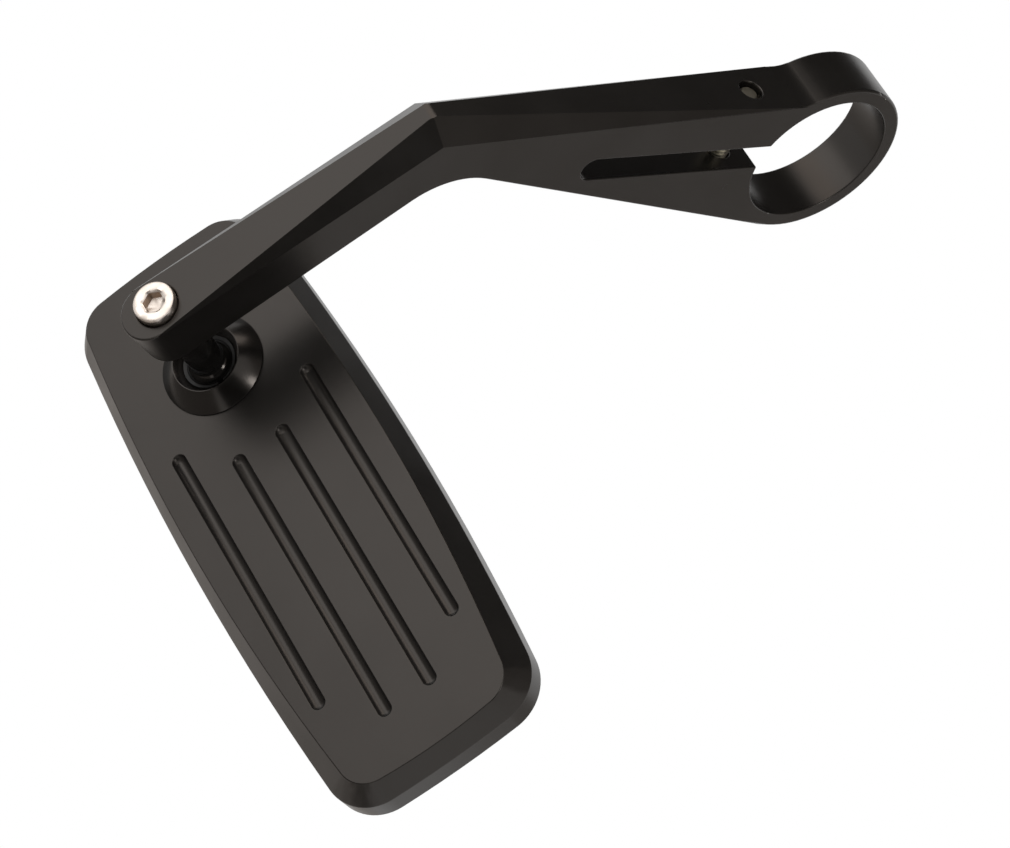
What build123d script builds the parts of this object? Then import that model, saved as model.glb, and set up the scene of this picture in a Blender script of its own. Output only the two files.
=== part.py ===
"""Bar end mirror: a split clamp arm, a ball joint and a slim mirror head.

Frame: the origin is the middle of the clamp bore, X runs along the bar, Z runs up along the
mirror leg of the arm, and the mirror glass looks along +Y. The ball stud stands square on the
tapered inner face of the mirror leg.
Millimetres.
"""
import os
from math import cos, radians, sin, sqrt, tan

from build123d import *

# Clamp ring
bore_diameter = 32.0
ring_wall = 3.5

# Arm: clamp leg from the ring to the elbow, mirror leg from the elbow to the stud
arm_width = 12.3
bend_angle = 49.25  # between the outer faces of the two legs
clamp_face_height = 15.8  # outer face of the clamp leg above the bore's middle
elbow_reach = 103.1  # bore's middle to the outer elbow corner, along the clamp leg
mirror_leg_length = 66.0  # outer elbow corner to the ball's middle, along the leg
mirror_leg_thickness = 11.05  # beside the ball
mirror_leg_taper = 2.25
clamp_leg_taper = 14.15  # inner edge of the clamp leg against its outer face
elbow_inner_radius = 16.0
elbow_outer_radius = 2.5
ring_blend_radius = 9.0
end_reach = 6.8  # from the ball's middle to the mirror leg's end, along the leg
end_flat = 0.1  # flat left between the two corner rounds of the mirror leg's end

# Bevels along both outer edges, widest at the elbow
elbow_bevel = 4.4
mirror_bevel_overrun = 3.6  # past the stud, where the bevel has run out
clamp_bevel_end = 15.0  # from the bore's middle, where the bevel has run out

# Clamp slot
slot_width = 5.65
slot_offset = 1.95  # middle of the slot above the bore's middle
slot_end = 62.7  # bore's middle to the round end of the slot

# Socket head screws, M5
screw_diameter = 5.0
head_diameter = 8.7
head_height = 5.0
hex_across_flats = 4.0
hex_depth = 2.5
counterbore_clearance = 0.15
shank_clearance = 0.25
thread_clearance = 0.05

# Pinch screw across the slot
pinch_distance = 22.7  # from the bore's middle along the clamp leg
pinch_screw_length = 20.0
pinch_head_seat = 5.2  # below the bore's middle

# Ball stud and the screw that holds it to the arm
stud_screw_length = 16.0
stud_head_proud = 1.9
stem_diameter = 7.2
stem_recess_depth = 1.5
stem_clearance = 0.06
thread_hole_depth = 11.5
drill_point_angle = 31.0
ball_diameter = 11.0
ball_depth = 1.0  # ball centre below the head's back face
ball_flat = 2.0  # flat foot of the ball below its centre

# Nylon liner between the ball and its socket
liner_thickness = 0.75
ball_clearance = 0.05
liner_top_angle = 63.0
liner_bottom_angle = 117.0
liner_split = 1.2
seat_angle = 20.0  # cone seats above and below the liner touch it this far from the ball's equator

# Socket collar screwed into the head
collar_base_diameter = 21.7
collar_base_wall = 0.4
collar_mouth_diameter = 14.5
collar_height = 3.8
collar_lip = 0.5
collar_lip_drop = 0.3
collar_throat_diameter = 11.3
collar_skirt_diameter = 17.6
collar_skirt_depth = 2.4
skirt_bottom_gap = 0.15

# Arm to head
stand_off = 28.4  # outer face of the mirror leg to the head's back face

# Mirror head
head_middle = 34.45  # ball's middle to the middle of the head, along the bar
back_middle = 34.775  # ball's middle to the middle of the back face
bevel_depth = 5.2
wall_depth = 5.0
back_half_length = 63.225
back_half_width = 22.4
back_near_half_width = 18.9  # at the corners beside the ball joint
back_far_half_width = 17.9
back_near_bow = 0.85
back_far_bow = 1.3
back_corner_radius = 6.5
rim_half_length = 65.65
rim_half_width = 25.35
rim_near_half_width = 21.9
rim_far_half_width = 22.2
rim_near_bow = 1.0
rim_far_bow = 1.0
rim_corner_radius = 10.2

# Milled grooves in the back face
groove_pitch = 10.4
groove_cutter_radius = 1.6
groove_depth = 1.1
inner_groove_start = 22.0
inner_groove_end = 85.7
outer_groove_start = 13.9
outer_groove_end = 76.3

# Ball socket in the head
socket_floor_depth = 4.5  # below the ball's centre

# Glass and its adhesive pad in the front pocket
pocket_lip = 1.6
glass_thickness = 1.8
pad_thickness = 0.4
glass_recess = 0.2
glass_clearance = 0.15
pad_margin = 1.5
glass_edge = 0.3

os.makedirs("parts", exist_ok=True)

# Places that follow from the sizes above
bore_radius = bore_diameter / 2
ring_radius = bore_radius + ring_wall
half_width = arm_width / 2
clamp_rise = 90.0 - bend_angle
clamp_out = (-sin(radians(clamp_rise)), cos(radians(clamp_rise)))
clamp_along = (-cos(radians(clamp_rise)), -sin(radians(clamp_rise)))


def clamp_point(distance, height):
    """Point of the arm's mid plane, from its place along the clamp leg and its height above the bore."""
    y = distance * clamp_along[0] + height * clamp_out[0]
    z = distance * clamp_along[1] + height * clamp_out[1]
    return y, z


outer_corner = clamp_point(elbow_reach, clamp_face_height)
face_y = outer_corner[0]
stud_z = outer_corner[1] - mirror_leg_length
back_y = face_y + stand_off
ball_y = back_y + ball_depth

# Planes of the clamp leg, the pinch screw, the stud and the head
clamp_leg = Plane((0, 0, 0), x_dir=(0, *clamp_along), z_dir=(-1, 0, 0))
pinch_axis = Plane((0, *clamp_point(pinch_distance, 0)), x_dir=(1, 0, 0), z_dir=(0, *clamp_out))
stud_out = (-cos(radians(mirror_leg_taper)), sin(radians(mirror_leg_taper)))
stud_axis = Plane((0, ball_y, stud_z), x_dir=(1, 0, 0), z_dir=(0, *stud_out))
head_back = Plane((0, back_y, stud_z), x_dir=(1, 0, 0), z_dir=(0, -1, 0))
stud_section = Plane((0, ball_y, stud_z), x_dir=(1, 0, 0), z_dir=(0, -stud_out[1], stud_out[0]))
ball_section = Plane((0, ball_y, stud_z), x_dir=(1, 0, 0), z_dir=(0, 0, -1))
collar_section = Plane((0, back_y, stud_z), x_dir=(1, 0, 0), z_dir=(0, 0, -1))
joint_axis = Axis((0, ball_y, stud_z), (0, -1, 0))
stud_line = Axis((0, ball_y, stud_z), (0, *stud_out))


def inner_edge_corner(lower_angle, tangent, inner_y):
    """Corner where the inner edges of the two legs would meet."""
    slope = tan(radians(mirror_leg_taper))
    run = tangent[0] - inner_y - (tangent[1] - stud_z) * slope
    step = run / (cos(lower_angle) - sin(lower_angle) * slope)
    return tangent[0] - step * cos(lower_angle), tangent[1] - step * sin(lower_angle)


def bevel_plane(side, run_out, elbow_edge, elbow_side):
    """Plane of one bevel, facing out of the arm, through its run-out and its two ends at the elbow."""
    start = Vector(side * half_width, *run_out)
    along_top = Vector(side * (half_width - elbow_bevel), *elbow_edge) - start
    along_side = Vector(side * half_width, *elbow_side) - start
    facing = along_side.cross(along_top)
    outward = side if facing.X > 0 else -side
    return Plane(start, x_dir=along_top, z_dir=facing * outward)


# Clamp arm: milled from one aluminium bar, the ring split by a slot that runs down the leg
lower_angle = radians(clamp_rise - clamp_leg_taper)
ring_tangent = (ring_radius * sin(lower_angle), -ring_radius * cos(lower_angle))
inner_corner = inner_edge_corner(lower_angle, ring_tangent, face_y + mirror_leg_thickness)
end_z = stud_z - end_reach
end_inner_y = face_y + mirror_leg_thickness - end_reach * tan(radians(mirror_leg_taper))
mirror_run_out = (face_y, stud_z - mirror_bevel_overrun)
mirror_bevel_side = (face_y + elbow_bevel, outer_corner[1])
clamp_run_out = clamp_point(clamp_bevel_end, clamp_face_height)
clamp_bevel_side = clamp_point(elbow_reach, clamp_face_height - elbow_bevel)
screw_hole_radius = screw_diameter / 2 + shank_clearance
thread_hole_radius = screw_diameter / 2 + thread_clearance
counterbore_radius = head_diameter / 2 + counterbore_clearance
face_height = (face_y - ball_y) / stud_out[0]  # outer face above the ball's centre, along the stud
inner_height = (face_y + mirror_leg_thickness - ball_y) * stud_out[0]
head_seat_height = face_height + stud_head_proud - head_height
stem_top = inner_height + stem_recess_depth

with BuildPart() as clamp_arm:
    with BuildSketch(Plane.YZ) as leg_profile:
        with BuildLine():
            Polyline(
                clamp_point(0, clamp_face_height),
                outer_corner,
                (face_y, end_z),
                (end_inner_y, end_z),
                inner_corner,
                ring_tangent,
                close=True,
            )
        make_face()
        fillet(leg_profile.vertices().sort_by_distance(inner_corner)[0], elbow_inner_radius)
        fillet(leg_profile.vertices().sort_by_distance(outer_corner)[0], elbow_outer_radius)
    extrude(amount=half_width, both=True)
    end_corners = clamp_arm.edges().filter_by(Axis.Y).sort_by(Axis.Z)[:2]
    fillet(end_corners, half_width - end_flat)
    for side in (1, -1):
        mirror_bevel = bevel_plane(side, mirror_run_out, outer_corner, mirror_bevel_side)
        split(bisect_by=mirror_bevel, keep=Keep.BOTTOM)
        clamp_bevel = bevel_plane(side, clamp_run_out, outer_corner, clamp_bevel_side)
        split(bisect_by=clamp_bevel, keep=Keep.BOTTOM)
    with BuildSketch(Plane.YZ):
        Circle(ring_radius)
    extrude(amount=half_width, both=True)
    ring_foot = (0, *clamp_point(sqrt(ring_radius**2 - clamp_face_height**2), clamp_face_height))
    ring_corner = clamp_arm.edges().filter_by(Axis.X).sort_by_distance(ring_foot)[0]
    fillet(ring_corner, ring_blend_radius)
    with BuildSketch(Plane.YZ):
        Circle(bore_radius)
    extrude(amount=half_width, both=True, mode=Mode.SUBTRACT)
    with BuildSketch(clamp_leg):
        slot_round = slot_end - slot_width / 2
        with Locations((slot_round / 2, slot_offset)):
            Rectangle(slot_round, slot_width)
        with Locations((slot_round, slot_offset)):
            Circle(slot_width / 2)
    extrude(amount=half_width, both=True, mode=Mode.SUBTRACT)
    with BuildSketch(pinch_axis.offset(slot_offset)):
        Circle(thread_hole_radius)
    extrude(amount=clamp_face_height, mode=Mode.SUBTRACT)
    with BuildSketch(pinch_axis.offset(slot_offset)):
        Circle(screw_hole_radius)
    extrude(amount=-slot_offset - pinch_head_seat, mode=Mode.SUBTRACT)
    with BuildSketch(pinch_axis.offset(-pinch_head_seat)):
        Circle(counterbore_radius)
    extrude(amount=-ring_radius, mode=Mode.SUBTRACT)
    with BuildSketch(stud_axis.offset(head_seat_height)):
        Circle(counterbore_radius)
    extrude(amount=head_height, mode=Mode.SUBTRACT)
    with BuildSketch(stud_axis.offset(inner_height)):
        Circle(screw_hole_radius)
    extrude(amount=mirror_leg_thickness, mode=Mode.SUBTRACT)
    with BuildSketch(stud_axis.offset(stem_top)):
        Circle(stem_diameter / 2 + stem_clearance)
    extrude(amount=-mirror_leg_thickness, mode=Mode.SUBTRACT)
clamp_arm.part.label = "clamp_arm"
export_step(clamp_arm.part, "parts/clamp_arm.step")


def cap_screw(seat, length):
    """Socket head cap screw: the head stands on the seat plane, the shank runs down from it."""
    with BuildPart() as screw:
        with BuildSketch(seat):
            Circle(head_diameter / 2)
        extrude(amount=head_height)
        with BuildSketch(seat):
            Circle(screw_diameter / 2)
        extrude(amount=-length)
        with BuildSketch(seat.offset(head_height)):
            RegularPolygon(hex_across_flats / 2, 6, major_radius=False)
        extrude(amount=-hex_depth, mode=Mode.SUBTRACT)
    return screw.part


# Pinch screw: goes in from the inner jaw and threads into the outer one
pinch_seat = Plane(
    (0, *clamp_point(pinch_distance, -pinch_head_seat)),
    x_dir=(1, 0, 0),
    z_dir=(0, -clamp_out[0], -clamp_out[1]),
)
pinch_screw = cap_screw(pinch_seat, pinch_screw_length)
pinch_screw.label = "pinch_screw"
export_step(pinch_screw, "parts/pinch_screw.step")

# Stud screw: passes through the mirror leg into the ball stud
stud_screw = cap_screw(stud_axis.offset(head_seat_height), stud_screw_length)
stud_screw.label = "stud_screw"
export_step(stud_screw, "parts/stud_screw.step")

# Ball stud: turned in one piece, tapped from its upper end, seated in the arm's recess
ball_radius = ball_diameter / 2
stem_radius = stem_diameter / 2
neck_height = sqrt(ball_radius**2 - stem_radius**2)
foot_radius = sqrt(ball_radius**2 - ball_flat**2)
thread_bottom = stem_top - thread_hole_depth
drill_tip = thread_bottom - thread_hole_radius * tan(radians(drill_point_angle))

with BuildPart() as ball_stud:
    with BuildSketch(stud_section):
        with BuildLine():
            ThreePointArc((foot_radius, -ball_flat), (ball_radius, 0), (stem_radius, neck_height))
            Polyline(
                (stem_radius, neck_height),
                (stem_radius, stem_top),
                (thread_hole_radius, stem_top),
                (thread_hole_radius, thread_bottom),
                (0, drill_tip),
                (0, -ball_flat),
                (foot_radius, -ball_flat),
            )
        make_face()
    revolve(axis=stud_line)
ball_stud.part.label = "ball_stud"
export_step(ball_stud.part, "parts/ball_stud.step")

# Ball liner: a split nylon ring that snaps over the ball and rocks between its two seats
liner_inner = ball_radius + ball_clearance
liner_outer = liner_inner + liner_thickness
socket_radius = liner_outer + ball_clearance


def on_sphere(radius, polar_angle):
    """Point of the joint's section on a sphere about the ball's centre, from its angle to the stem."""
    return radius * sin(radians(polar_angle)), radius * cos(radians(polar_angle))


def seat_width(radius, height):
    """Radius at a height off the ball's equator of the cylinder and cones that wrap a sphere."""
    cone = (radius - abs(height) * sin(radians(seat_angle))) / cos(radians(seat_angle))
    return min(radius, cone)


liner_top = on_sphere(liner_inner, liner_top_angle)
liner_foot = on_sphere(liner_inner, liner_bottom_angle)
with BuildPart() as ball_liner:
    with BuildSketch(ball_section):
        with BuildLine():
            ThreePointArc(liner_top, (liner_inner, 0), liner_foot)
            Polyline(
                liner_foot,
                on_sphere(liner_outer, liner_bottom_angle),
                on_sphere(liner_outer, (liner_top_angle + liner_bottom_angle) / 2),
                on_sphere(liner_outer, liner_top_angle),
                liner_top,
            )
        make_face()
    revolve(axis=joint_axis)
    with BuildSketch(head_back.offset(-ball_depth)):
        with Locations((liner_outer, 0)):
            Rectangle(2 * liner_outer, liner_split)
    extrude(amount=liner_outer, both=True, mode=Mode.SUBTRACT)
ball_liner.part.label = "ball_liner"
export_step(ball_liner.part, "parts/ball_liner.step")

# Socket collar: turned cone with a threaded skirt, holds the liner down in the head
collar_base = collar_base_diameter / 2
collar_mouth = collar_mouth_diameter / 2
collar_throat = collar_throat_diameter / 2
collar_skirt = collar_skirt_diameter / 2
seat_rise = socket_radius - collar_throat * cos(radians(seat_angle))
throat_height = seat_rise / sin(radians(seat_angle)) - ball_depth
seat_foot = socket_radius * (1 - cos(radians(seat_angle))) / sin(radians(seat_angle)) - ball_depth
skirt_bottom = skirt_bottom_gap - collar_skirt_depth

with BuildPart() as socket_collar:
    with BuildSketch(collar_section):
        with BuildLine():
            Polyline(
                (socket_radius, skirt_bottom),
                (collar_skirt, skirt_bottom),
                (collar_skirt, 0),
                (collar_base, 0),
                (collar_base, collar_base_wall),
                (collar_mouth, collar_height),
                (collar_mouth - collar_lip, collar_height - collar_lip_drop),
                (collar_throat, throat_height),
                (socket_radius, seat_foot),
                close=True,
            )
        make_face()
    revolve(axis=joint_axis)
socket_collar.part.label = "socket_collar"
export_step(socket_collar.part, "parts/socket_collar.step")


def head_outline(
    plane, middle, half_length, side_half, near_half, far_half, near_bow, far_bow, radius, grow=0.0
):
    """Barrel outline of the head on a plane, grown all round: bowed sides and ends, round corners."""
    near_x = middle - half_length - grow
    far_x = middle + half_length + grow
    near_top = (near_x + near_bow, near_half + grow)
    far_top = (far_x - far_bow, far_half + grow)
    far_foot = (far_x - far_bow, -far_half - grow)
    near_foot = (near_x + near_bow, -near_half - grow)
    with BuildSketch(plane) as outline:
        with BuildLine():
            ThreePointArc(near_foot, (near_x, 0), near_top)
            ThreePointArc(near_top, (middle, side_half + grow), far_top)
            ThreePointArc(far_top, (far_x, 0), far_foot)
            ThreePointArc(far_foot, (middle, -side_half - grow), near_foot)
        make_face()
        fillet(outline.vertices(), radius + grow)
    return outline.sketch


back_sizes = (
    back_middle,
    back_half_length,
    back_half_width,
    back_near_half_width,
    back_far_half_width,
    back_near_bow,
    back_far_bow,
    back_corner_radius,
)
rim_sizes = (
    head_middle,
    rim_half_length,
    rim_half_width,
    rim_near_half_width,
    rim_far_half_width,
    rim_near_bow,
    rim_far_bow,
    rim_corner_radius,
)
head_depth = bevel_depth + wall_depth
pad_front = head_depth - glass_recess - glass_thickness
pocket_floor = pad_front - pad_thickness
socket_floor = ball_depth + socket_floor_depth
rim_plane = head_back.offset(-bevel_depth)
front_plane = head_back.offset(-head_depth)
groove_height = groove_cutter_radius - groove_depth
grooves = (
    (-1.5 * groove_pitch, outer_groove_start, outer_groove_end),
    (-0.5 * groove_pitch, inner_groove_start, inner_groove_end),
    (0.5 * groove_pitch, inner_groove_start, inner_groove_end),
    (1.5 * groove_pitch, outer_groove_start, outer_groove_end),
)

# Mirror housing: milled aluminium shell, bevelled to a flat grooved back, pocketed for the glass
with BuildPart() as mirror_housing:
    back_outline = head_outline(head_back, *back_sizes)
    rim_outline = head_outline(rim_plane, *rim_sizes)
    loft([back_outline, rim_outline], ruled=True)
    extrude(rim_outline, amount=-wall_depth)
    pocket_outline = head_outline(front_plane, *rim_sizes, grow=-pocket_lip)
    extrude(pocket_outline, amount=head_depth - pocket_floor, mode=Mode.SUBTRACT)
    with BuildSketch(head_back):
        Circle(collar_skirt + thread_clearance)
    extrude(amount=-collar_skirt_depth, mode=Mode.SUBTRACT)
    with BuildSketch(collar_section):
        with BuildLine():
            Polyline(
                (0, -socket_floor),
                (0, -collar_skirt_depth),
                (seat_width(socket_radius, collar_skirt_depth - ball_depth), -collar_skirt_depth),
                (seat_width(socket_radius, socket_floor_depth), -socket_floor),
                close=True,
            )
        make_face()
    revolve(axis=joint_axis, mode=Mode.SUBTRACT)
    for across, start, end in grooves:
        groove_axis = Plane(
            head_back.from_local_coords((start, across, groove_height)), x_dir=(1, 0, 0), z_dir=(0, 0, 1)
        )
        with BuildSketch(groove_axis):
            SlotCenterPoint(((end - start) / 2, 0), (end - start, 0), 2 * groove_cutter_radius)
            Rectangle(
                4 * (end - start),
                2 * groove_cutter_radius,
                align=(Align.CENTER, Align.MAX),
                mode=Mode.SUBTRACT,
            )
        revolve(axis=Axis(groove_axis.origin, (1, 0, 0)), mode=Mode.SUBTRACT)
mirror_housing.part.label = "mirror_housing"
export_step(mirror_housing.part, "parts/mirror_housing.step")

# Adhesive pad: foam tape between the pocket's floor and the glass
glass_inset = -pocket_lip - glass_clearance
with BuildPart() as glass_pad:
    pad_outline = head_outline(head_back.offset(-pocket_floor), *rim_sizes, grow=glass_inset - pad_margin)
    extrude(pad_outline, amount=-pad_thickness)
glass_pad.part.label = "glass_pad"
export_step(glass_pad.part, "parts/glass_pad.step")

# Mirror glass: cut to the pocket with ground edges
with BuildPart() as mirror_glass:
    glass_outline = head_outline(head_back.offset(-pad_front), *rim_sizes, grow=glass_inset)
    extrude(glass_outline, amount=-glass_thickness)
    glass_front = mirror_glass.faces().sort_by(Axis.Y)[-1]
    chamfer(glass_front.edges(), glass_edge)
mirror_glass.part.label = "mirror_glass"
export_step(mirror_glass.part, "parts/mirror_glass.step")
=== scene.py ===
import bmesh
import bpy
from math import cos, degrees, hypot, pi, radians, sin, sqrt
from mathutils import Matrix, Vector


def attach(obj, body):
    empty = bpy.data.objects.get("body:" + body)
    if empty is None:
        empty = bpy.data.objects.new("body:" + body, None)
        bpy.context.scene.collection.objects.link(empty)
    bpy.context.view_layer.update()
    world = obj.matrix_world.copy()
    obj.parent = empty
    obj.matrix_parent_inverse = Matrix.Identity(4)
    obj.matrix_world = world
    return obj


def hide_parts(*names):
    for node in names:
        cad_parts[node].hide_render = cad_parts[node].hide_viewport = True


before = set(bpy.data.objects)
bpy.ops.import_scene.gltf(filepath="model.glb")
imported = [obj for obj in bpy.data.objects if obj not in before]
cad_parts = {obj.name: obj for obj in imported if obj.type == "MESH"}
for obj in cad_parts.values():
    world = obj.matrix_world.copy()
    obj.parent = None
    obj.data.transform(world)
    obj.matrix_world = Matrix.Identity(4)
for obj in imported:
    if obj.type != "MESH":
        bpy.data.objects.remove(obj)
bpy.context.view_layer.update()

# Clamp arm: one bent bar of aluminium, milled with a split ring, a slot and two long mitred bevels,
# then black anodised. Its square edges are broken by a fine deburr, the ring's rims by a wider round,
# and the anodising is rubbed through at a few points of them.
arm_edge_break = 0.00036
blend_edge_break = 0.00004
ring_rim_round = 0.00070
ring_radius = 0.0195
rim_slack = 0.00003
blend_start = 0.015
blend_length = 0.006
blend_height = 0.008
square_turn = 60
arm_crease = 30
weld = 2e-6
clamp_rise = radians(40.75)
clamp_along = Vector((0, -cos(clamp_rise), -sin(clamp_rise)))
clamp_out = Vector((0, -sin(clamp_rise), cos(clamp_rise)))


def arm_break(place, turn):
    """Width of the round on the arm's edge at a place: it widens from the clamp leg to the ring's rims."""
    if turn < square_turn:
        return 0
    onto_ring = min(max((blend_start - place.dot(clamp_along)) / blend_length, 0), 1)
    if onto_ring == 0 or hypot(place.y, place.z) < ring_radius - rim_slack:
        return arm_edge_break
    least = blend_edge_break if place.dot(clamp_out) > blend_height else arm_edge_break
    return least + (ring_rim_round - least) * onto_ring


def milled_copy(node, widest, break_at, sharp_from, finish, edge_finish):
    """Deburred copy of a CAD solid: flats made whole, sharp edges broken by small rounds, curves smooth."""
    solid = bmesh.new()
    solid.from_mesh(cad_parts[node].data)
    bmesh.ops.remove_doubles(solid, verts=solid.verts, dist=weld)
    bmesh.ops.dissolve_limit(solid, angle_limit=radians(0.3), verts=solid.verts, edges=solid.edges)
    share = solid.edges.layers.float.new("bevel_weight_edge")
    for face in solid.faces:
        face.smooth = True
        face.material_index = 0
    for edge in solid.edges:
        turn = degrees(edge.calc_face_angle(0))
        if turn > sharp_from:
            edge[share] = break_at((edge.verts[0].co + edge.verts[1].co) / 2, turn) / widest
        edge.smooth = turn < sharp_from or edge[share] > 0
        if not edge.smooth:
            min(edge.link_faces, key=lambda face: face.calc_area()).smooth = False
    mesh = bpy.data.meshes.new(node + "_milled")
    solid.to_mesh(mesh)
    solid.free()
    if "custom_normal" in mesh.attributes:
        mesh.attributes.remove(mesh.attributes["custom_normal"])
    piece = bpy.data.objects.new(node + "_milled", mesh)
    bpy.context.scene.collection.objects.link(piece)
    mesh.materials.append(finish)
    mesh.materials.append(edge_finish)
    deburr = piece.modifiers.new("deburr", "BEVEL")
    deburr.width = widest
    deburr.segments = 3
    deburr.limit_method = "WEIGHT"
    deburr.use_clamp_overlap = False
    deburr.loop_slide = False
    deburr.material = 1
    flats = piece.modifiers.new("flats", "WEIGHTED_NORMAL")
    flats.mode = "FACE_AREA"
    flats.weight = 100
    flats.thresh = 1e-7
    flats.keep_sharp = True
    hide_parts(node)
    return piece


def anodised(name, dark, light, roughness, grain_scale, grain_depth, bare=None):
    """Black anodised aluminium: cloudy dye, satin gloss that varies a little, and a fine blasted grain."""
    finish = bpy.data.materials.new(name)
    finish.use_nodes = True
    nodes = finish.node_tree.nodes
    link = finish.node_tree.links.new
    gloss = nodes["Principled BSDF"]
    gloss.inputs["Specular IOR Level"].default_value = 0.42
    # The warm specular tint is painted light: it stands in for the warm colour of the studio light in the
    # reflections.
    gloss.inputs["Specular Tint"].default_value = (1.0, 0.90, 0.82, 1)
    place = nodes.new("ShaderNodeTexCoord")
    cloud = nodes.new("ShaderNodeTexNoise")
    cloud.inputs["Scale"].default_value = 55.0
    cloud.inputs["Detail"].default_value = 5.0
    cloud.inputs["Roughness"].default_value = 0.6
    link(place.outputs["Object"], cloud.inputs["Vector"])
    dye = nodes.new("ShaderNodeValToRGB")
    dye.color_ramp.elements[0].position = 0.3
    dye.color_ramp.elements[0].color = (*dark, 1)
    dye.color_ramp.elements[1].position = 0.75
    dye.color_ramp.elements[1].color = (*light, 1)
    link(cloud.outputs["Fac"], dye.inputs["Fac"])
    sheen = nodes.new("ShaderNodeMapRange")
    sheen.inputs["From Min"].default_value = 0.3
    sheen.inputs["From Max"].default_value = 0.7
    sheen.inputs["To Min"].default_value = roughness - 0.03
    sheen.inputs["To Max"].default_value = roughness + 0.04
    link(cloud.outputs["Fac"], sheen.inputs["Value"])
    link(sheen.outputs["Result"], gloss.inputs["Roughness"])
    grain = nodes.new("ShaderNodeTexNoise")
    grain.inputs["Scale"].default_value = grain_scale
    grain.inputs["Detail"].default_value = 2.0
    link(place.outputs["Object"], grain.inputs["Vector"])
    blast = nodes.new("ShaderNodeBump")
    blast.inputs["Strength"].default_value = grain_depth
    blast.inputs["Distance"].default_value = 0.00005
    link(grain.outputs["Fac"], blast.inputs["Height"])
    link(blast.outputs["Normal"], gloss.inputs["Normal"])
    if bare is None:
        link(dye.outputs["Color"], gloss.inputs["Base Color"])
        return finish
    chips = nodes.new("ShaderNodeTexNoise")
    chips.inputs["Scale"].default_value = 420.0
    chips.inputs["Detail"].default_value = 3.0
    link(place.outputs["Object"], chips.inputs["Vector"])
    worn = nodes.new("ShaderNodeMapRange")
    worn.inputs["From Min"].default_value = bare
    worn.inputs["From Max"].default_value = bare + 0.03
    link(chips.outputs["Fac"], worn.inputs["Value"])
    rubbed = nodes.new("ShaderNodeMix")
    rubbed.data_type = "RGBA"
    rubbed.inputs["B"].default_value = (0.62, 0.61, 0.59, 1)
    link(worn.outputs["Result"], rubbed.inputs["Factor"])
    link(dye.outputs["Color"], rubbed.inputs["A"])
    link(rubbed.outputs["Result"], gloss.inputs["Base Color"])
    link(worn.outputs["Result"], gloss.inputs["Metallic"])
    return finish


arm_black = anodised("arm_black_anodised", dark=(0.0060, 0.0055, 0.0050), light=(0.0090, 0.0083, 0.0076),
                     roughness=0.30, grain_scale=5200.0, grain_depth=0.10)
arm_rubbed = anodised("arm_rubbed_edge", dark=(0.0075, 0.0069, 0.0063), light=(0.0110, 0.0101, 0.0093),
                      roughness=0.26, grain_scale=5200.0, grain_depth=0.06, bare=0.70)
clamp_arm = milled_copy("clamp_arm", ring_rim_round, arm_break, arm_crease, arm_black, arm_rubbed)
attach(clamp_arm, "arm")

# Pinch screw: an M5 socket head cap screw in zinc plated steel that goes in through the inner jaw,
# crosses the slot and draws the two jaws together on the bar. Turned head, broached hex, rolled thread.
screw_radius = 0.0025
plain_shank = 0.0016
thread_root = 0.00207
thread_pitch = 0.0008
thread_steps = 32
thread_start = 0.0006
thread_margin = 0.0027
tip_height = 0.0005
tip_break = 0.0004
head_radius = 0.00435
head_height = 0.0050
head_round = 0.00045
head_foot_break = 0.0001
hex_flats = 0.0040
hex_depth = 0.0025
hex_mouth = 0.00262
hex_chamfer = 0.0003
drill_point = 0.0006
around = 48
pinch_distance = 0.0227
pinch_head_seat = 0.0052
pinch_length = 0.020


def lathe(mesh, outline, turns=around):
    """Turns an outline of (radius, height) points about the local Z axis."""
    corners = [mesh.verts.new((radius, 0, height)) for radius, height in outline]
    edges = [mesh.edges.new(pair) for pair in zip(corners, corners[1:])]
    bmesh.ops.spin(mesh, geom=corners + edges, cent=(0, 0, 0), axis=(0, 0, 1), angle=2 * pi, steps=turns,
                   use_merge=True)


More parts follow.
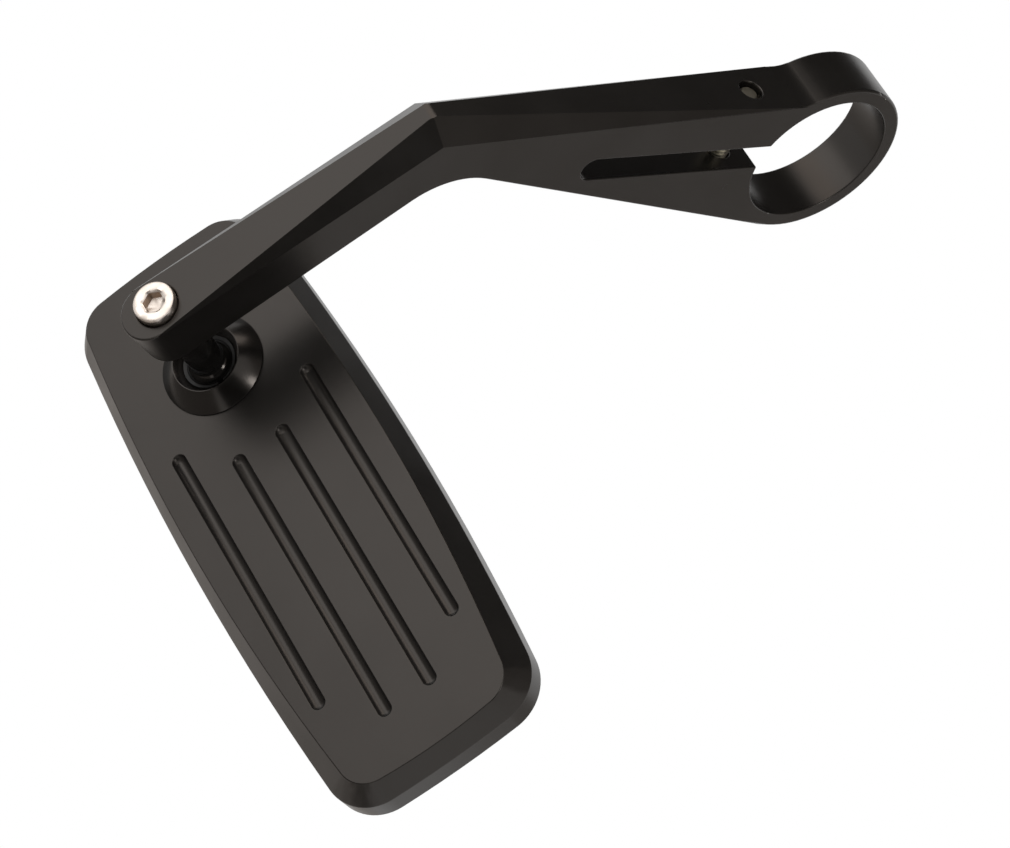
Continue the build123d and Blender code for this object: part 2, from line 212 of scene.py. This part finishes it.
def socket_screw(name, seat, out, length, finish, socket_finish):
    """Socket head cap screw: its head stands on the seat along out, its shank runs the other way."""
    screw = bmesh.new()
    lathe(screw, ((hex_mouth, head_height), (head_radius - head_round, head_height),
                  (head_radius - 0.3 * head_round, head_height - 0.3 * head_round),
                  (head_radius, head_height - head_round), (head_radius, head_foot_break),
                  (head_radius - head_foot_break, 0), (screw_radius, 0), (screw_radius, -plain_shank),
                  (thread_root, -plain_shank - tip_break), (thread_root, tip_height - length),
                  (thread_root - tip_break, -length), (0, -length)))
    mouth = bmesh.ops.create_circle(screw, segments=around, radius=hex_mouth,
                                    matrix=Matrix.Translation((0, 0, head_height)))["verts"]
    rings = list(dict.fromkeys(edge for corner in mouth for edge in corner.link_edges
                               if edge.other_vert(corner) in mouth))
    hex_top = head_height - hex_chamfer
    broach = bmesh.ops.create_circle(screw, segments=6, radius=hex_flats / sqrt(3),
                                     matrix=Matrix.Translation((0, 0, hex_top)))["verts"]
    sides = list(dict.fromkeys(edge for corner in broach for edge in corner.link_edges))
    bmesh.ops.subdivide_edges(screw, edges=sides, cuts=around // 6 - 1)
    hexagon = [edge for edge in screw.edges if not edge.link_faces
               and all(abs(corner.co.z - hex_top) < weld for corner in edge.verts)]
    bmesh.ops.bridge_loops(screw, edges=rings + hexagon)
    wall = bmesh.ops.extrude_edge_only(screw, edges=hexagon)["geom"]
    for part in wall:
        if isinstance(part, bmesh.types.BMFace):
            part.material_index = 1
    foot = [part for part in wall if isinstance(part, bmesh.types.BMVert)]
    bmesh.ops.translate(screw, verts=foot, vec=(0, 0, hex_chamfer - hex_depth))
    floor_edges = [part for part in wall if isinstance(part, bmesh.types.BMEdge)
                   and part.verts[0] in foot and part.verts[1] in foot]
    cone = bmesh.ops.extrude_edge_only(screw, edges=floor_edges)["geom"]
    for part in cone:
        if isinstance(part, bmesh.types.BMFace):
            part.material_index = 0
    drilled = [part for part in cone if isinstance(part, bmesh.types.BMVert)]
    bmesh.ops.pointmerge(screw, verts=drilled, merge_co=(0, 0, head_height - hex_depth - drill_point))
    bmesh.ops.remove_doubles(screw, verts=screw.verts, dist=weld)
    bmesh.ops.recalc_face_normals(screw, faces=screw.faces)
    ridge = bmesh.new()
    root = thread_root - 0.0001
    crest = screw_radius - 0.00003
    flank = [ridge.verts.new((radius, 0, thread_start - length + rise)) for radius, rise in
             ((root, 0), (crest, 0.00030), (crest, 0.00042), (root, 0.00072))]
    start = ridge.faces.new(flank)
    count = int((length - thread_margin) / thread_pitch * thread_steps)
    bmesh.ops.spin(ridge, geom=[start] + start.edges[:] + flank, cent=(0, 0, 0), axis=(0, 0, 1),
                   dvec=(0, 0, thread_pitch / thread_steps), angle=2 * pi * count / thread_steps, steps=count)
    bmesh.ops.recalc_face_normals(ridge, faces=ridge.faces)
    rolled = bpy.data.meshes.new(name + "_thread")
    ridge.to_mesh(rolled)
    ridge.free()
    screw.from_mesh(rolled)
    bpy.data.meshes.remove(rolled)
    stand = Vector(out).normalized().to_track_quat("Z", "X").to_matrix().to_4x4()
    bmesh.ops.transform(screw, matrix=Matrix.Translation(seat) @ stand, verts=screw.verts)
    mesh = bpy.data.meshes.new(name)
    screw.to_mesh(mesh)
    screw.free()
    for face in mesh.polygons:
        face.use_smooth = True
    mesh.set_sharp_from_angle(angle=radians(28))
    mesh.materials.append(finish)
    mesh.materials.append(socket_finish)
    piece = bpy.data.objects.new(name, mesh)
    bpy.context.scene.collection.objects.link(piece)
    return piece


def screw_steel(name, dull, bright, roughness):
    """Machined screw steel: a warm white metal with fine scratches and a few darker stains."""
    steel = bpy.data.materials.new(name)
    steel.use_nodes = True
    nodes = steel.node_tree.nodes
    link = steel.node_tree.links.new
    metal = nodes["Principled BSDF"]
    metal.inputs["Metallic"].default_value = 1.0
    place = nodes.new("ShaderNodeTexCoord")
    stain = nodes.new("ShaderNodeTexNoise")
    stain.inputs["Scale"].default_value = 380.0
    stain.inputs["Detail"].default_value = 6.0
    link(place.outputs["Object"], stain.inputs["Vector"])
    tone = nodes.new("ShaderNodeValToRGB")
    tone.color_ramp.elements[0].position = 0.3
    tone.color_ramp.elements[0].color = (*dull, 1)
    tone.color_ramp.elements[1].position = 0.6
    tone.color_ramp.elements[1].color = (*bright, 1)
    link(stain.outputs["Fac"], tone.inputs["Fac"])
    link(tone.outputs["Color"], metal.inputs["Base Color"])
    polish = nodes.new("ShaderNodeMapRange")
    polish.inputs["To Min"].default_value = roughness + 0.08
    polish.inputs["To Max"].default_value = roughness - 0.04
    link(stain.outputs["Fac"], polish.inputs["Value"])
    link(polish.outputs["Result"], metal.inputs["Roughness"])
    scratch = nodes.new("ShaderNodeTexNoise")
    scratch.inputs["Scale"].default_value = 2600.0
    link(place.outputs["Object"], scratch.inputs["Vector"])
    marks = nodes.new("ShaderNodeBump")
    marks.inputs["Strength"].default_value = 0.12
    marks.inputs["Distance"].default_value = 0.00004
    link(scratch.outputs["Fac"], marks.inputs["Height"])
    link(marks.outputs["Normal"], metal.inputs["Normal"])
    return steel


pinch_seat = clamp_along * pinch_distance - clamp_out * pinch_head_seat
pinch_steel = screw_steel("pinch_zinc_plate", (0.40, 0.38, 0.30), (0.62, 0.58, 0.49), 0.30)
# The hex socket's walls get a darker, browner steel than the rest of the screw.
socket_wall_darker = screw_steel("socket_wall_darker_steel", (0.34, 0.27, 0.21), (0.56, 0.46, 0.38), 0.34)
pinch_screw = socket_screw("pinch_screw_turned", pinch_seat, -clamp_out, pinch_length,
                           pinch_steel, socket_wall_darker)
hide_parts("pinch_screw")
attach(pinch_screw, "arm")

# Ball stud: turned from one bar of steel and black oxided, a plain stem with a ball on its foot. It is
# seated in the arm's inner face, a little off square to the outer one, and tapped for the stud screw.
ball_middle = Vector((0, -0.0590186, -0.12133))
stud_lean = radians(2.25)
stud_out = Vector((0, -cos(stud_lean), sin(stud_lean)))
ball_radius = 0.0055
ball_flat = 0.0020
stem_radius = 0.0036
stem_top = 0.0198357
stem_break = 0.0004
tap_radius = 0.00255
tap_depth = 0.0115
tap_point = 0.0015
neck = sqrt(ball_radius ** 2 - stem_radius ** 2)
fillet_foot = neck - 0.0002
ball_steps = 64

stud = bmesh.new()
bmesh.ops.create_uvsphere(stud, u_segments=ball_steps, v_segments=ball_steps, radius=ball_radius)
for height, facing in ((fillet_foot, 1), (-ball_flat, -1)):
    bmesh.ops.bisect_plane(stud, geom=stud.verts[:] + stud.edges[:] + stud.faces[:],
                           plane_co=(0, 0, height), plane_no=(0, 0, facing), clear_outer=True)
open_rim = [edge for edge in stud.edges if edge.is_boundary]
bmesh.ops.edgeloop_fill(stud, edges=[edge for edge in open_rim if edge.verts[0].co.z < 0])
lathe(stud, ((sqrt(ball_radius ** 2 - fillet_foot ** 2), fillet_foot),
             (stem_radius + 0.00012, neck + 0.00008), (stem_radius + 0.00003, neck + 0.0003),
             (stem_radius, neck + 0.0006), (stem_radius, stem_top - stem_break),
             (stem_radius - stem_break, stem_top), (tap_radius, stem_top), (tap_radius, stem_top - tap_depth),
             (0, stem_top - tap_depth - tap_point)), ball_steps)
bmesh.ops.remove_doubles(stud, verts=stud.verts, dist=2 * weld)
bmesh.ops.recalc_face_normals(stud, faces=stud.faces)
stud_stand = stud_out.to_track_quat("Z", "X").to_matrix().to_4x4()
bmesh.ops.transform(stud, matrix=Matrix.Translation(ball_middle) @ stud_stand, verts=stud.verts)
stud_mesh = bpy.data.meshes.new("ball_stud_turned")
stud.to_mesh(stud_mesh)
stud.free()
for face in stud_mesh.polygons:
    face.use_smooth = True
stud_mesh.set_sharp_from_angle(angle=radians(35))
ball_stud = bpy.data.objects.new("ball_stud_turned", stud_mesh)
bpy.context.scene.collection.objects.link(ball_stud)


def turned_black(name, dark, light, roughness, ring_scale, ring_depth, middle):
    """Gloss black on a turned part: fine rings round its axis left by the tool, and patchy polish."""
    finish = bpy.data.materials.new(name)
    finish.use_nodes = True
    nodes = finish.node_tree.nodes
    link = finish.node_tree.links.new
    gloss = nodes["Principled BSDF"]
    gloss.inputs["Specular IOR Level"].default_value = 0.42
    # The warm specular tint is painted light: it stands in for the warm colour of the studio light in the
    # reflections.
    gloss.inputs["Specular Tint"].default_value = (1.0, 0.90, 0.82, 1)
    place = nodes.new("ShaderNodeTexCoord")
    centre = nodes.new("ShaderNodeMapping")
    centre.vector_type = "POINT"
    centre.inputs["Location"].default_value = -middle
    link(place.outputs["Object"], centre.inputs["Vector"])
    split = nodes.new("ShaderNodeSeparateXYZ")
    link(centre.outputs["Vector"], split.inputs["Vector"])
    flat = nodes.new("ShaderNodeCombineXYZ")
    link(split.outputs["X"], flat.inputs["X"])
    link(split.outputs["Z"], flat.inputs["Y"])
    reach = nodes.new("ShaderNodeVectorMath")
    reach.operation = "LENGTH"
    link(flat.outputs["Vector"], reach.inputs[0])
    feed = nodes.new("ShaderNodeCombineXYZ")
    link(reach.outputs["Value"], feed.inputs["X"])
    link(split.outputs["Y"], feed.inputs["Y"])
    rings = nodes.new("ShaderNodeTexNoise")
    rings.inputs["Scale"].default_value = ring_scale
    rings.inputs["Detail"].default_value = 3.0
    link(feed.outputs["Vector"], rings.inputs["Vector"])
    tool = nodes.new("ShaderNodeBump")
    tool.inputs["Strength"].default_value = ring_depth
    tool.inputs["Distance"].default_value = 0.00005
    link(rings.outputs["Fac"], tool.inputs["Height"])
    link(tool.outputs["Normal"], gloss.inputs["Normal"])
    cloud = nodes.new("ShaderNodeTexNoise")
    cloud.inputs["Scale"].default_value = 160.0
    cloud.inputs["Detail"].default_value = 4.0
    link(place.outputs["Object"], cloud.inputs["Vector"])
    dye = nodes.new("ShaderNodeValToRGB")
    dye.color_ramp.elements[0].position = 0.35
    dye.color_ramp.elements[0].color = (*dark, 1)
    dye.color_ramp.elements[1].position = 0.7
    dye.color_ramp.elements[1].color = (*light, 1)
    link(cloud.outputs["Fac"], dye.inputs["Fac"])
    link(dye.outputs["Color"], gloss.inputs["Base Color"])
    polish = nodes.new("ShaderNodeMapRange")
    polish.inputs["From Min"].default_value = 0.3
    polish.inputs["From Max"].default_value = 0.7
    polish.inputs["To Min"].default_value = roughness - 0.03
    polish.inputs["To Max"].default_value = roughness + 0.05
    link(cloud.outputs["Fac"], polish.inputs["Value"])
    link(polish.outputs["Result"], gloss.inputs["Roughness"])
    return finish


stud_black = turned_black("stud_black_oxide", dark=(0.006, 0.0056, 0.0052), light=(0.010, 0.0094, 0.0088),
                          roughness=0.11, ring_scale=2400.0, ring_depth=0.10, middle=ball_middle)
stud_mesh.materials.append(stud_black)
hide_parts("ball_stud")
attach(ball_stud, "stud")

# Stud screw: the bright stainless M5 cap screw that holds the stud to the arm, its head standing
# proud of the counterbore.
stud_length = 0.016
head_proud = 0.0019
arm_face_height = 0.0294 / cos(stud_lean)
stud_seat = ball_middle + stud_out * (arm_face_height + head_proud - head_height)
stud_steel = screw_steel("stud_stainless", (0.50, 0.44, 0.39), (0.66, 0.59, 0.53), 0.26)
stud_screw = socket_screw("stud_screw_turned", stud_seat, stud_out, stud_length, stud_steel, socket_wall_darker)
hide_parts("stud_screw")
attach(stud_screw, "stud")

# Ball liner: a moulded black nylon ring, split so that it snaps over the ball. It gives the joint its
# friction and shows only as a dark line inside the collar.
liner_nylon = bpy.data.materials.new("liner_moulded_nylon")
liner_nylon.use_nodes = True
nylon_nodes = liner_nylon.node_tree.nodes
nylon_link = liner_nylon.node_tree.links.new
nylon = nylon_nodes["Principled BSDF"]
nylon_place = nylon_nodes.new("ShaderNodeTexCoord")
nylon_grain = nylon_nodes.new("ShaderNodeTexNoise")
nylon_grain.inputs["Scale"].default_value = 900.0
nylon_tone = nylon_nodes.new("ShaderNodeValToRGB")
nylon_tone.color_ramp.elements[0].color = (0.010, 0.010, 0.010, 1)
nylon_tone.color_ramp.elements[1].color = (0.026, 0.025, 0.024, 1)
nylon_bump = nylon_nodes.new("ShaderNodeBump")
nylon_bump.inputs["Strength"].default_value = 0.2
nylon_bump.inputs["Distance"].default_value = 0.00005
nylon_link(nylon_place.outputs["Object"], nylon_grain.inputs["Vector"])
nylon_link(nylon_grain.outputs["Fac"], nylon_tone.inputs["Fac"])
nylon_link(nylon_tone.outputs["Color"], nylon.inputs["Base Color"])
nylon_link(nylon_grain.outputs["Fac"], nylon_bump.inputs["Height"])
nylon_link(nylon_bump.outputs["Normal"], nylon.inputs["Normal"])
nylon.inputs["Roughness"].default_value = 0.5
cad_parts["ball_liner"].data.materials.clear()
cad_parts["ball_liner"].data.materials.append(liner_nylon)

# Socket collar: a low cone turned in aluminium and gloss black anodised. Its threaded skirt screws into
# the housing and its seat holds the liner and ball down.
ball_depth = 0.0010
collar_steps = 120
collar_middle = Vector((0, ball_middle.y - ball_depth, ball_middle.z))
collar_outline = (
    (0.00635, -0.00225), (0.00880, -0.00225), (0.00880, -0.00002), (0.01075, -0.00002), (0.01085, 0.00006),
    (0.01085, 0.00032), (0.01078, 0.00042), (0.00735, 0.00370), (0.00722, 0.00378), (0.00706, 0.00376),
    (0.00680, 0.00352), (0.00572, 0.00216), (0.00565, 0.00204), (0.00635, 0.00012), (0.00635, -0.00225))
collar = bmesh.new()
lathe(collar, collar_outline, collar_steps)
bmesh.ops.remove_doubles(collar, verts=collar.verts, dist=weld)
bmesh.ops.recalc_face_normals(collar, faces=collar.faces)
collar_stand = Matrix.Rotation(pi / 2, 4, "X")
bmesh.ops.transform(collar, matrix=Matrix.Translation(collar_middle) @ collar_stand, verts=collar.verts)
collar_mesh = bpy.data.meshes.new("socket_collar_turned")
collar.to_mesh(collar_mesh)
collar.free()
for face in collar_mesh.polygons:
    face.use_smooth = True
collar_mesh.set_sharp_from_angle(angle=radians(33))
socket_collar = bpy.data.objects.new("socket_collar_turned", collar_mesh)
bpy.context.scene.collection.objects.link(socket_collar)
collar_black = turned_black("collar_gloss_black", dark=(0.0035, 0.0032, 0.0030),
                            light=(0.0060, 0.0056, 0.0052), roughness=0.21,
                            ring_scale=3000.0, ring_depth=0.12, middle=collar_middle)
collar_mesh.materials.append(collar_black)
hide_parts("socket_collar")
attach(socket_collar, "head")

# Mirror housing: a shallow shell milled from aluminium plate, bevelled all round, with four ball-nosed
# grooves down its flat back. Fine blasted and black anodised.
housing_edge_break = 0.00016
groove_rim_break = 0.00010
groove_field = (0.010, 0.090, 0.0176)
housing_crease = 15


def housing_break(place, turn):
    """Width of the round on the housing's edge at a place: groove rims stay crisper than the outline."""
    near, far, half = groove_field
    in_field = near < place.x < far and abs(place.z - ball_middle.z) < half
    return groove_rim_break if in_field else housing_edge_break


housing_black = anodised("housing_blasted_black", dark=(0.0065, 0.0060, 0.0056),
                         light=(0.0095, 0.0088, 0.0082), roughness=0.31, grain_scale=6000.0, grain_depth=0.12)
housing_edge = anodised("housing_rubbed_edge", dark=(0.0075, 0.0069, 0.0064), light=(0.0105, 0.0097, 0.0090),
                        roughness=0.28, grain_scale=6000.0, grain_depth=0.08, bare=0.76)
mirror_housing = milled_copy("mirror_housing", housing_edge_break, housing_break, housing_crease,
                             housing_black, housing_edge)
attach(mirror_housing, "head")

# Glass pad: a sheet of black foam tape that sticks the glass to the pocket's floor, a little smaller than
# the glass and hidden behind it.
pad_foam = bpy.data.materials.new("pad_foam_tape")
pad_foam.use_nodes = True
foam_nodes = pad_foam.node_tree.nodes
foam_link = pad_foam.node_tree.links.new
foam = foam_nodes["Principled BSDF"]
foam_place = foam_nodes.new("ShaderNodeTexCoord")
foam_cells = foam_nodes.new("ShaderNodeTexVoronoi")
foam_cells.inputs["Scale"].default_value = 2200.0
foam_tone = foam_nodes.new("ShaderNodeValToRGB")
foam_tone.color_ramp.elements[0].color = (0.012, 0.012, 0.012, 1)
foam_tone.color_ramp.elements[1].color = (0.040, 0.040, 0.040, 1)
foam_bump = foam_nodes.new("ShaderNodeBump")
foam_bump.inputs["Strength"].default_value = 0.4
foam_bump.inputs["Distance"].default_value = 0.0001
foam_link(foam_place.outputs["Object"], foam_cells.inputs["Vector"])
foam_link(foam_cells.outputs["Distance"], foam_tone.inputs["Fac"])
foam_link(foam_tone.outputs["Color"], foam.inputs["Base Color"])
foam_link(foam_cells.outputs["Distance"], foam_bump.inputs["Height"])
foam_link(foam_bump.outputs["Normal"], foam.inputs["Normal"])
foam.inputs["Roughness"].default_value = 0.9
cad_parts["glass_pad"].data.materials.clear()
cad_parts["glass_pad"].data.materials.append(pad_foam)

# Mirror glass: flat silvered glass cut to the pocket, its front edge ground. A little dust and a few wipe
# marks dull the silver here and there.
glass_silver = bpy.data.materials.new("glass_silvered")
glass_silver.use_nodes = True
silver_nodes = glass_silver.node_tree.nodes
silver_link = glass_silver.node_tree.links.new
silver = silver_nodes["Principled BSDF"]
silver.inputs["Metallic"].default_value = 1.0
silver_place = silver_nodes.new("ShaderNodeTexCoord")
silver_wipe = silver_nodes.new("ShaderNodeMapping")
silver_wipe.inputs["Rotation"].default_value = (0, radians(24), 0)
silver_wipe.inputs["Scale"].default_value = (18, 40, 90)
silver_film = silver_nodes.new("ShaderNodeTexNoise")
silver_film.inputs["Scale"].default_value = 1.0
silver_film.inputs["Detail"].default_value = 6.0
silver_dull = silver_nodes.new("ShaderNodeMapRange")
silver_dull.inputs["From Min"].default_value = 0.45
silver_dull.inputs["From Max"].default_value = 0.8
silver_dull.inputs["To Min"].default_value = 0.02
silver_dull.inputs["To Max"].default_value = 0.10
silver_tone = silver_nodes.new("ShaderNodeValToRGB")
silver_tone.color_ramp.elements[0].color = (0.80, 0.83, 0.83, 1)
silver_tone.color_ramp.elements[1].color = (0.86, 0.88, 0.88, 1)
silver_link(silver_place.outputs["Object"], silver_wipe.inputs["Vector"])
silver_link(silver_wipe.outputs["Vector"], silver_film.inputs["Vector"])
silver_link(silver_film.outputs["Fac"], silver_dull.inputs["Value"])
silver_link(silver_dull.outputs["Result"], silver.inputs["Roughness"])
silver_link(silver_film.outputs["Fac"], silver_tone.inputs["Fac"])
silver_link(silver_tone.outputs["Color"], silver.inputs["Base Color"])
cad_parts["mirror_glass"].data.materials.clear()
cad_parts["mirror_glass"].data.materials.append(glass_silver)

# Studio: a white floor well below the mirror and a white surround, one large soft lamp in front of the
# arm's outer face and a small one for the ball's highlight. The cards are seen only in gloss, where they
# give the black metal its dark and light faces.
def stage_sheet(name, middle, size, facing, paint):
    """Flat sheet of the stage, painted on one side."""
    sheet = bmesh.new()
    bmesh.ops.create_grid(sheet, x_segments=1, y_segments=1, size=0.5)
    bmesh.ops.scale(sheet, vec=(size[0], size[1], 1), verts=sheet.verts)
    turn = Vector(facing).normalized().to_track_quat("Z", "X").to_matrix().to_4x4()
    bmesh.ops.transform(sheet, matrix=Matrix.Translation(middle) @ turn, verts=sheet.verts)
    mesh = bpy.data.meshes.new(name)
    sheet.to_mesh(mesh)
    sheet.free()
    mesh.materials.append(paint)
    stage = bpy.data.objects.new(name, mesh)
    bpy.context.scene.collection.objects.link(stage)
    return stage


def seen_white(tree):
    """Factor that is 1 for the camera, for gloss and through glass, and 0 for light that falls on things."""
    path = tree.nodes.new("ShaderNodeLightPath")
    either = tree.nodes.new("ShaderNodeMath")
    either.operation = "MAXIMUM"
    tree.links.new(path.outputs["Is Camera Ray"], either.inputs[0])
    tree.links.new(path.outputs["Is Glossy Ray"], either.inputs[1])
    also = tree.nodes.new("ShaderNodeMath")
    also.operation = "MAXIMUM"
    tree.links.new(either.outputs["Value"], also.inputs[0])
    tree.links.new(path.outputs["Is Transmission Ray"], also.inputs[1])
    return also.outputs["Value"]


floor_white = bpy.data.materials.new("floor_white")
floor_white.use_nodes = True
floor_nodes = floor_white.node_tree.nodes
floor_link = floor_white.node_tree.links.new
floor_paint = floor_nodes["Principled BSDF"]
floor_paint.inputs["Base Color"].default_value = (0.85, 0.85, 0.85, 1)
floor_paint.inputs["Roughness"].default_value = 0.9
floor_paint.inputs["Specular IOR Level"].default_value = 0.0
floor_glow = floor_nodes.new("ShaderNodeEmission")
floor_pick = floor_nodes.new("ShaderNodeMixShader")
floor_link(seen_white(floor_white.node_tree), floor_pick.inputs["Fac"])
floor_link(floor_paint.outputs["BSDF"], floor_pick.inputs[1])
floor_link(floor_glow.outputs["Emission"], floor_pick.inputs[2])
floor_link(floor_pick.outputs["Shader"], floor_nodes["Material Output"].inputs["Surface"])
stage_sheet("floor", (0, 0, -0.30), (30, 30), (0, 0, 1), floor_white)

for card_name, middle, size, facing, tone in (
        ("top_card", (-0.22, -0.02, 0.30), (0.56, 0.60), (0, 0.0001, -1), 0.08),
        ("right_card", (0.28, -0.02, 0.30), (0.56, 0.40), (0, 0.0001, -1), 0.30),
        ("side_card", (0.36, 0.60, 0.0), (0.42, 0.46), (-0.51, -0.86, 0.09), 0.42),
        ("front_card", (0.385, -0.35, -0.10), (0.42, 0.40), (-0.86, 0.51, 0), 0.03),
        ("floor_card", (-0.09, 0.125, -0.295), (0.45, 0.36), (0, 0.0001, 1), 0.68),
        ("near_card", (0.045, -0.29, -0.295), (0.38, 0.81), (0, 0.0001, 1), 0.32),
        ("fill_card", (-0.08, -0.20, 0.05), (0.12, 0.17), (0.506, 0.55, -0.66), 2.4)):
    card_paint = bpy.data.materials.new(card_name + "_grey")
    card_paint.use_nodes = True
    card_nodes = card_paint.node_tree.nodes
    card_glow = card_nodes.new("ShaderNodeEmission")
    card_glow.inputs["Color"].default_value = (1.0, 0.93, 0.87, 1)
    card_glow.inputs["Strength"].default_value = tone
    card_surface = card_nodes["Material Output"].inputs["Surface"]
    card_paint.node_tree.links.new(card_glow.outputs["Emission"], card_surface)
    card = stage_sheet(card_name, middle, size, facing, card_paint)
    card.visible_camera = False
    card.visible_diffuse = False
    card.visible_shadow = False


def soft_lamp(name, target, out, distance, width, height, watts):
    """Rectangular soft lamp that shines on a target from the direction out."""
    lamp = bpy.data.lights.new(name, "AREA")
    lamp.shape = "RECTANGLE"
    lamp.size = width
    lamp.size_y = height
    lamp.energy = watts
    stand = bpy.data.objects.new(name, lamp)
    bpy.context.scene.collection.objects.link(stand)
    away = Vector(out).normalized()
    aim = away.to_track_quat("Z", "Y").to_matrix().to_4x4()
    stand.matrix_world = Matrix.Translation(Vector(target) + away * distance) @ aim
    stand.visible_camera = False


soft_lamp("main_lamp", target=(0.03, -0.06, -0.11), out=(-0.51, -0.86, -0.06), distance=0.62,
          width=0.7, height=0.6, watts=1.6)
soft_lamp("ball_lamp", target=ball_middle, out=(0.70, -0.40, 0.59), distance=0.5,
          width=0.10, height=0.10, watts=0.3)

world = bpy.data.worlds.new("studio")
bpy.context.scene.world = world
world.use_nodes = True
surround = world.node_tree.nodes["Background"]
surround.inputs["Color"].default_value = (1, 1, 1, 1)
level = world.node_tree.nodes.new("ShaderNodeMapRange")
level.inputs["To Min"].default_value = 0.55
level.inputs["To Max"].default_value = 1.0
world.node_tree.links.new(seen_white(world.node_tree), level.inputs["Value"])
world.node_tree.links.new(level.outputs["Result"], surround.inputs["Strength"])

# Camera: level with the ring, to the right of the arm and behind the head, rolled so that the mirror leg
# runs down to the left.
camera = bpy.data.objects.new("camera", bpy.data.cameras.new("camera"))
bpy.context.scene.collection.objects.link(camera)
eye = Vector((0.467604, -0.767886, -0.004076))
forward = Vector((-0.50604, 0.85781, -0.08993)).normalized()
up = Vector((-0.72935, -0.36993, 0.57550))
up = (up - forward * up.dot(forward)).normalized()
right = forward.cross(up)
camera.matrix_world = Matrix((
    (right.x, up.x, -forward.x, eye.x),
    (right.y, up.y, -forward.y, eye.y),
    (right.z, up.z, -forward.z, eye.z),
    (0, 0, 0, 1)))
camera.data.lens = 153.31
camera.data.sensor_width = 36.0
camera.data.sensor_fit = "HORIZONTAL"
camera.data.clip_start = 0.05
bpy.context.scene.camera = camera
bpy.context.scene.view_settings.view_transform = "Standard"
